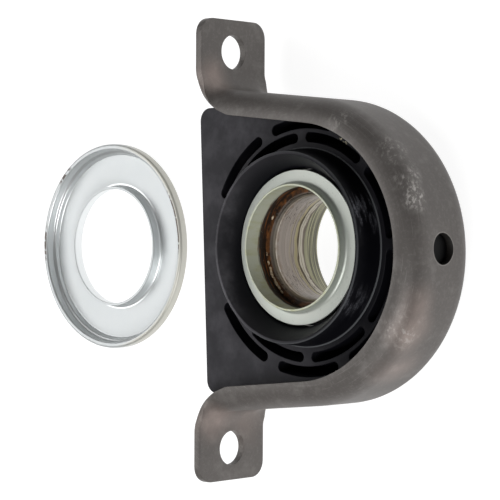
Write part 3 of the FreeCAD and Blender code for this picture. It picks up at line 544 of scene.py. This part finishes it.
# Painted shade: the cup darkens deep inside, toward the shield
depth = rubber.rise(around, 42.5, 48.8)
cup_wall_sheen = rubber.band(around, 42.5, 49.3, 0.4) * rubber.rise(up, 17.5, 20)
dust_and_sheen = rubber.rise(patch, 0.35, 0.75) * (0.1 + level_top * 0.2 + sheen_patches * 0.9)
dust_and_sheen = dust_and_sheen + level_top * 0.28 + cup_wall_sheen * 0.3
dust_and_sheen = dust_and_sheen * (0.1 + lit_open_end * 0.9) * depth
colour = rubber.tint(dust_and_sheen, clean_black, dust_and_sheen_grey)
# The cup's outside and its foot are streaked with pale dust and a painted sheen, most of it on the near side
outside = rubber.band(around, 49.3, 53.5, 0.4) * rubber.rise(up, 16.5, 20)
near_side = rubber.patches(((19, -47, 26), 17, 1.0), ((-27, -42, 29), 14, 0.5))
dust_streaks_and_sheen = rubber.rise(smear, 0.46, 0.66) * near_side
dust_streaks_and_sheen = outside * dust_streaks_and_sheen * (0.4 + rubber.rise(grit, 0.4, 0.6) * 0.6)
colour = rubber.tint(dust_streaks_and_sheen, colour, dust_and_sheen_streak_grey)
# Painted highlights as light lines on the thin mould edges: the flash at the cup's foot and the cup's rim
flash_highlight = rubber.band(around, 51.85, 52.6, 0.1) * rubber.band(up, 17.55, 18.2, 0.1)
rim = rubber.band(up, 33.1, 33.8, 0.25) * rubber.rise(around, 49.2, 49.9)
colour = rubber.tint(flash_highlight * 0.5 + rim * 0.3, colour, edge_highlight_grey)
# Crumbs of grit and pale oil caught under the rolled edge of the strap
crumbs = rubber.near((55, -26, 17), 5) * rubber.rise(rubber.cloud(0.0016, 2, offset=6.1), 0.56, 0.62)
colour = rubber.tint(crumbs, colour, oily_grit)
# The plug behind the strap's hole lies in its own shade and stays black
in_hole = rubber.rise(0.0 - rubber.y, 0.0735, 0.0765)
rubber.put("Base Color", rubber.tint(in_hole, colour, shaded_black))
rubber.put("Roughness", 0.36 + patch * 0.16 + level_top * 0.14 + grit * 0.08)
rubber.bump(grit * 0.6 + patch * 0.8, 0.00009, 0.35)
wear(cushion, rubber)
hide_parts("rubber_insert")
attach(cushion, "housing")


# Slot shade sheet: a sheet of the rubber finish, half a millimetre thick, closes the slots near the
# back face as a dark sheet standing in for the shade deep in the slots, so that no light comes through.

sheet_inside, sheet_outside, sheet_back, sheet_front = 54.0, 68.6, -16.4, -15.9
shade_sheet = piece_of("slot_shade_sheet", ring_of((
    (sheet_inside, sheet_back), (sheet_inside, sheet_front),
    (sheet_outside, sheet_front), (sheet_outside, sheet_back),
)))
wear(shade_sheet, rubber)
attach(shade_sheet, "housing")


# Bearing: ground steel rings, a pressed cage in two riveted halves, polished balls, rubber
# seals, and the plated sleeve that holds the outer ring in the rubber. All of it is hidden
# behind the shields, so its solids stay as they are and only get their finishes.

ground = Finish("ground_steel", Metallic=1.0, Base_Color=(0.56, 0.55, 0.53, 1))
lay = ground.cloud(0.002, 2, stretch=(0.3, 0.3, 4))
ground.put("Roughness", 0.26 + lay * 0.12)
for name in ("retaining_sleeve", "outer_ring"):
    wear(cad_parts[name], ground)
pressed = Finish("pressed_cage_steel", Metallic=1.0, Base_Color=(0.5, 0.48, 0.45, 1))
pressed.put("Roughness", 0.3 + pressed.cloud(0.001, 2) * 0.2)
for name in ("cage_front", "cage_back", "cage_rivets"):
    wear(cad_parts[name], pressed)
polished = Finish("polished_ball_steel", Metallic=1.0, Base_Color=(0.78, 0.78, 0.77, 1))
polished.put("Roughness", 0.06 + polished.cloud(0.004, 2) * 0.05)
for name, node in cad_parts.items():
    if name.startswith("ball_"):
        wear(node, polished)
lip_rubber = Finish("seal_rubber", Base_Color=(0.02, 0.02, 0.02, 1))
lip_rubber.put("Roughness", 0.45 + lip_rubber.cloud(0.002, 2) * 0.2)
for name in ("front_seal", "back_seal"):
    wear(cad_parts[name], lip_rubber)


# Inner ring: turned and ground steel, wide enough to carry a shield at each end. Its bore has
# fine rings from the tool, bands of yellow oil and a brown stain beside the front shield.

ring = ring_of((
    (27.5, -12.4), (28.1, -13), (32.1, -13), (32.1, -9), (33, -9),
    (33, 9), (32.1, 9), (32.1, 13), (28.9, 13), (27.5, 10.4, 0.5),
))
inner_ring = piece_of("turned_inner_ring", ring)
inner_ring.data.set_sharp_from_angle(angle=math.radians(35))

tool_dark, tool_light, unground = (0.10, 0.082, 0.070), (0.49, 0.435, 0.39), (0.10, 0.075, 0.05)
oil_olive, oil_pale, oil_brown = (0.36, 0.31, 0.13), (0.55, 0.52, 0.41), (0.05, 0.036, 0.014)
drip_brown, rust_dark, rust_orange = (0.06, 0.045, 0.03), (0.016, 0.008, 0.004), (0.22, 0.08, 0.018)
bare_and_highlight_steel, brown_haze = (0.66, 0.60, 0.53), (0.20, 0.12, 0.07)

turned = Finish("turned_steel")
around = turned.from_axis()
up = turned.z * 1000
lines = turned.turned_streaks(0.22, 300, 2)
coarse = turned.turned_streaks(0.9, 200, 2, 2.0)
shade = turned.tint(lines * 0.6 + coarse * 0.4, tool_dark, tool_light)
# Dark rings where the bore was not ground, toward the back
marks = turned.bands(up, (-2.2, -1.9, 0.12, 1.0), (3.1, 3.35, 0.12, 0.7), (-6.4, -6.0, 0.2, 0.8))
shade = turned.tint(marks * 0.7, shade, unground)
# Yellow oil has run and dried in wavy bands toward the back end, with dark edges
wobble = turned.turned_streaks(9, 30, 2, 1.2)
run = up + (wobble - 0.5) * 7
olive = turned.bands(run, (-6.3, -4.4, 0.6, 1.0), (-1.1, -0.8, 0.3, 0.5))
pale = turned.band(run, -10.6, -8.1, 0.4)
dried = turned.bands(
    run, (-8.0, -6.9, 0.2, 1.0), (-13.4, -11.2, 0.3, 0.7), (-9.5, -9.3, 0.1, 0.7), (-3.5, -3.3, 0.12, 0.6))
shade = turned.tint(olive * 0.6, shade, oil_olive)
shade = turned.tint(pale * 0.5, shade, oil_pale)
shade = turned.tint(dried * 0.85, shade, oil_brown)
# Thin brown drips run round the bore on the sides that lie toward the two feet
drips = turned.band(turned.turned_streaks(1.6, 20, 3, 5.0), 0.485, 0.505, 0.012)
drips = drips * turned.rise(abs(turned.x), 0.006, 0.018)
shade = turned.tint(drips * 0.85, shade, drip_brown)
# Rust and old grease in the corner with the front shield, with a chamfer below it lightened as
# bare bright steel and a painted highlight
stain = turned.cloud(0.0035, 4, offset=8.0)
corner = turned.rise(around, 28.3, 29.6) * turned.rise(up, 11.5, 12.6)
brown = turned.tint(turned.rise(stain, 0.35, 0.75), rust_dark, rust_orange)
shade = turned.tint(corner * turned.rise(stain, 0.12, 0.3), shade, brown)
bare_and_highlit = turned.band(around, 27.45, 28.0, 0.25) * turned.band(up, 9.6, 11.6, 0.3)
shade = turned.tint(bare_and_highlit * 0.75, shade, bare_and_highlight_steel)
below = turned.band(up, 8.2, 10.2, 1.2) * turned.rise(stain, 0.35, 0.7)
below = below * turned.rise(turned.y, -0.01, 0.012)
shade = turned.tint(below * 0.6, shade, brown_haze)
turned.put("Base Color", shade)
turned.put("Metallic", 0.9 - corner * 0.8 - olive * 0.3)
turned.put("Roughness", 0.27 + lines * 0.12 + corner * 0.2 + stain * 0.08)
turned.bump(lines * 0.6 + coarse * 0.4 + corner * stain * 3.0, 0.00005, 0.6)
wear(inner_ring, turned)
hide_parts("inner_ring")
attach(inner_ring, "inner_race")


# Corner grease: soft lumps of pale old grease pushed into the corner between the ring's face
# and the collar of the front shield.

ring_face, collar_inside = 13.0, 32.1
lumps = bmesh.new()
flattened = Matrix.Diagonal((0.75, 1.9, 0.55, 1))
# Heading of each lump in degrees, its distance from the axis and its size
for heading, radius, size in (
        (106, 31.0, 0.7), (113, 30.6, 0.9), (118, 31.1, 1.1), (124, 30.7, 0.8), (129, 31.0, 1.2),
        (134, 30.9, 1.0), (140, 31.3, 0.7), (97, 31.3, 0.5), (60, 31.2, 0.7)):
    grown = bmesh.ops.create_icosphere(lumps, subdivisions=4, radius=size)["verts"]
    along = Matrix.Rotation(math.radians(heading), 4, "Z")
    out = Matrix.Translation((radius, 0, ring_face + 0.1))
    bmesh.ops.transform(lumps, verts=grown, matrix=along @ out @ flattened)
for vert in lumps.verts:
    swell = 0.12 * math.sin(vert.co.x * 3.1 + vert.co.y * 1.7)
    swell += 0.08 * math.sin(vert.co.y * 5.3 - vert.co.x * 2.2)
    vert.co.z = max(ring_face, vert.co.z + swell)
    reach = vert.co.xy.length
    vert.co.xy *= min(reach, collar_inside) / reach
bmesh.ops.dissolve_degenerate(lumps, dist=0.0005, edges=lumps.edges)
grease = piece_of("corner_grease", lumps)
old_grease = Finish("old_grease")
clotted = old_grease.cloud(0.0012, 3)
old_grease.put("Base Color", old_grease.tint(clotted, (0.30, 0.18, 0.08), (0.72, 0.62, 0.46)))
old_grease.put("Roughness", 0.18 + clotted * 0.15)
old_grease.bump(clotted, 0.0001, 0.6)
wear(grease, old_grease)
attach(grease, "inner_race")


# Shields: one disc on each end of the inner ring, drawn from thin sheet into a collar, folded
# hard back over a narrow lip and spread through a rounding into a cone that ends just
# inside the rubber cup. They are zinc plated and passivated, so they look pale green.

collar, collar_foot, bend_height, shield_sheet = 32.12, 9.02, 13, 1
shield_edge, edge_corner = 40.6, 0.12


# Shield for the front or the back, with the height of its lip and of its outer edge
def shield(name, side, lip_height, flare, edge_height):
    lip = collar + flare
    corners = (
        (collar, collar_foot), (collar, bend_height, 1.2),
        (lip, lip_height, 0.4), (lip + 1.3, lip_height, 0.6), (lip + 1.7, lip_height - 4.6, 1.5),
        (shield_edge, edge_height, edge_corner), (shield_edge, edge_height - shield_sheet, edge_corner),
        (lip + 2.3, lip_height - 5.6, 1.2), (lip + 1.1, lip_height - 7.0, 0.3),
        (collar + shield_sheet, bend_height, 1.2), (collar + shield_sheet, collar_foot),
    )
    disc = ring_of([(corner[0], side * corner[1]) + corner[2:] for corner in corners])
    piece = piece_of(name, disc)
    piece.data.set_sharp_from_angle(angle=math.radians(35))
    return piece


green_dark, green_light, olive_tint = (0.53, 0.57, 0.515), (0.64, 0.66, 0.61), (0.48, 0.49, 0.28)
rust_dark, rust_orange, speck_grey = (0.018, 0.010, 0.005), (0.27, 0.09, 0.02), (0.30, 0.32, 0.27)
dried_olive, dried_brown = (0.36, 0.34, 0.20), (0.05, 0.04, 0.015)

plated = Finish("passivated_zinc")
around = plated.from_axis()
veil = plated.cloud(0.012, 3, offset=2.2)
run_down = plated.cloud(0.004, 4, stretch=(1, 1, 0.25), offset=4.0)
spun = plated.turned_streaks(0.3, 60, 2)
smeared = plated.turned_streaks(1.4, 14, 4, 2.0)
colour = plated.tint(veil, green_dark, green_light)
# Oil has tinted the inside of the collar, and rust creeps up it from the ring's corner
inside = 1 - plated.rise(around, 33.2, 33.6)
colour = plated.tint(inside * (0.35 + plated.rise(run_down, 0.45, 0.7) * 0.5), colour, olive_tint)
low_down = 1 - plated.rise(plated.z * 1000 - smeared * 5, 15.4, 17.2)
corner = inside * plated.rise(plated.z, 0, 0.01) * low_down
rust = plated.tint(plated.rise(smeared, 0.5, 0.72), rust_dark, rust_orange)
colour = plated.tint(corner, colour, rust)
# Old oil has dried to olive inside the back shield, and this darker tint is partly painted shade
back_oil_and_shade = (1 - plated.rise(around, 35.2, 35.6)) * (1 - plated.rise(plated.z, -0.01, -0.005))
old_oil = plated.rise(plated.turned_streaks(0.9, 60, 2, 6.4), 0.42, 0.6)
colour = plated.tint(back_oil_and_shade * 0.85, colour, plated.tint(old_oil, dried_olive, dried_brown))
specks = plated.rise(plated.cloud(0.0015, 2, offset=7.7), 0.66, 0.72)
colour = plated.tint(specks * 0.35, colour, speck_grey)
plated.put("Base Color", colour)
plated.put("Metallic", 0.3 - corner * 0.25 + plated.band(around, 33.5, 34.6, 0.4) * 0.4)
plated.put("Roughness", 0.4 + veil * 0.12 + spun * 0.08 + smeared * corner * 0.2)
plated.bump(spun * 0.5 + plated.cloud(0.006, 2) * 2, 0.00004, 0.5)
for name, node, sizes in (
        ("pressed_front_shield", "front_shield", (1, 28.3, 0, 23.1)),
        ("pressed_back_shield", "back_shield", (-1, 30.9, 1.9, 25.6))):
    disc = shield(name, *sizes)
    wear(disc, plated)
    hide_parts(node)
    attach(disc, "inner_race")


# Slinger: a pressed pan that fits the shaft behind the bearing and throws water off. It lies
# loose beside the bearing. Its rim is folded back over itself, and the plating is bright zinc.

lies_at = (-1.4, 197.2, -33.7)
pan = ring_of((
    (35, 0, 2.6), (35, 7.6, 0.3), (36.5, 7.6, 0.3), (36.5, 1.5, 1.5), (56.2, 1.5, 0.6),
    (57, 4.2, 0.5), (58.6, 5, 0.5), (58.9, 9.7, 1.2), (62.3, 9.7, 1.5), (62.3, 4.6, 0.2),
    (60.8, 4.6, 0.2), (60.8, 8.2, 0.15), (60.4, 8.2, 0.15), (59.4, 3.3, 1.6), (56.7, 0, 1.6),
))
bmesh.ops.translate(pan, verts=pan.verts, vec=lies_at)
slinger = piece_of("pressed_slinger", pan)
slinger.data.set_sharp_from_angle(angle=math.radians(35))

dull_dark, dull_light, straw = (0.56, 0.59, 0.60), (0.64, 0.66, 0.66), (0.56, 0.52, 0.40)
burnished_dark, burnished_light, bruised_and_reflection = (0.80, 0.83, 0.84), (0.86, 0.88, 0.88), (0.12, 0.09, 0.075)

bright = Finish("bright_zinc")
out_x, out_y = bright.x - lies_at[0] / 1000, bright.y - lies_at[1] / 1000
from_centre = (out_x * out_x + out_y * out_y) ** 0.5 * 1000
veil = bright.cloud(0.02, 3)
soft = bright.cloud(0.0025, 3, offset=3.3)
# The walls were burnished by the press tool, the flat plate and the two edges are duller
walls = bright.band(from_centre, 34.0, 38.0, 0.8) * (1 - bright.rise(bright.z * 1000, -27.4, -26.5))
walls = walls + bright.band(from_centre, 56.1, 59.0, 0.5)
colour = bright.tint(veil, dull_dark, dull_light)
colour = bright.tint(walls, colour, bright.tint(veil, burnished_dark, burnished_light))
rim = bright.rise(from_centre, 59.5, 61.0)
near_side = 1 - bright.rise(out_y, -0.03, 0.0)
colour = bright.tint(rim * near_side * 0.5, colour, straw)
# Knocks have bruised the rim's outer edge in one place and its inner edge in one; a second dark
# patch on the outer edge, on the far side, is a painted dark reflection
nicks_and_reflection_mask = bright.patches(((43, 239.5, -24), 9, 1.2), ((-1, 259, -25), 15, 1.0))
nicks_and_reflection_mask = nicks_and_reflection_mask * bright.rise(from_centre, 59.5, 60.1) * 1.4
nicks_and_reflection_mask = nicks_and_reflection_mask + bright.near((14, 139, -24.5), 24) * bright.band(from_centre, 59.2, 60.4, 0.4) * 2.0
nicks_and_dark_reflection = bright.maths_of("MINIMUM", nicks_and_reflection_mask * bright.rise(soft, 0.40, 0.52) * 1.6, 1.0)
colour = bright.tint(nicks_and_dark_reflection * 0.9, colour, bruised_and_reflection)
bright.put("Base Color", colour)
bright.put("Metallic", 0.35 + walls * 0.4)
bright.put("Roughness", 0.33 - walls * 0.09 + veil * 0.08 + soft * 0.06 + nicks_and_dark_reflection * 0.2)
bright.bump(soft * 0.3 + veil * 2.0, 0.00004, 0.4)
wear(slinger, bright)
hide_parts("loose_slinger")
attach(slinger, "housing")
